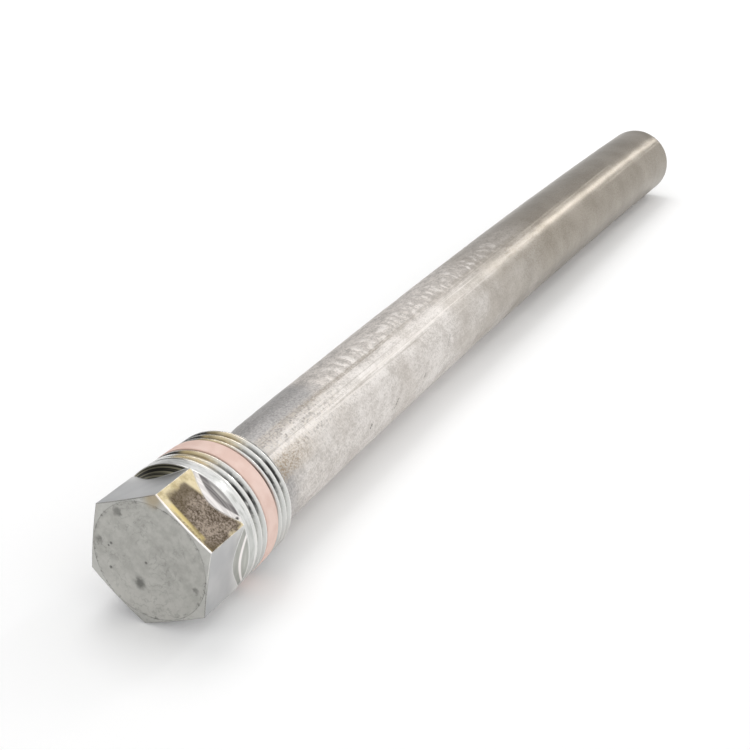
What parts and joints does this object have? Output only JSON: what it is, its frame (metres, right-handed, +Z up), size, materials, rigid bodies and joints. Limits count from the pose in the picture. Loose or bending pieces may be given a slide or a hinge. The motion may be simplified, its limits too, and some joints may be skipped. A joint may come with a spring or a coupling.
{
  "type": "water heater anode rod",
  "caption": "Sacrificial anode rod: a magnesium rod on a steel core wire, held by a hex-head plug with a tapered pipe thread and a moulded-on sealant band.",
  "frame": {"origin": "middle of the footprint on the surface the rod lies on", "axes": "+X along the rod from the hex head to the tip, +Z up; the rod's axis dips 0.52 degrees towards the tip, because the collar is wider than the rod"},
  "size_m": [0.2684, 0.0268, 0.027],
  "materials": {
    "zinc_plated_steel": "dull zinc plate",
    "thread_sealant": "matt",
    "wire_steel": "drawn",
    "magnesium": "as cast, satin"
  },
  "bodies": {
    "root": {"hex_head_plug": "zinc_plated_steel", "thread_sealant_band": "thread_sealant", "core_wire": "wire_steel", "magnesium_rod": "magnesium"}
  },
  "joints": []
}
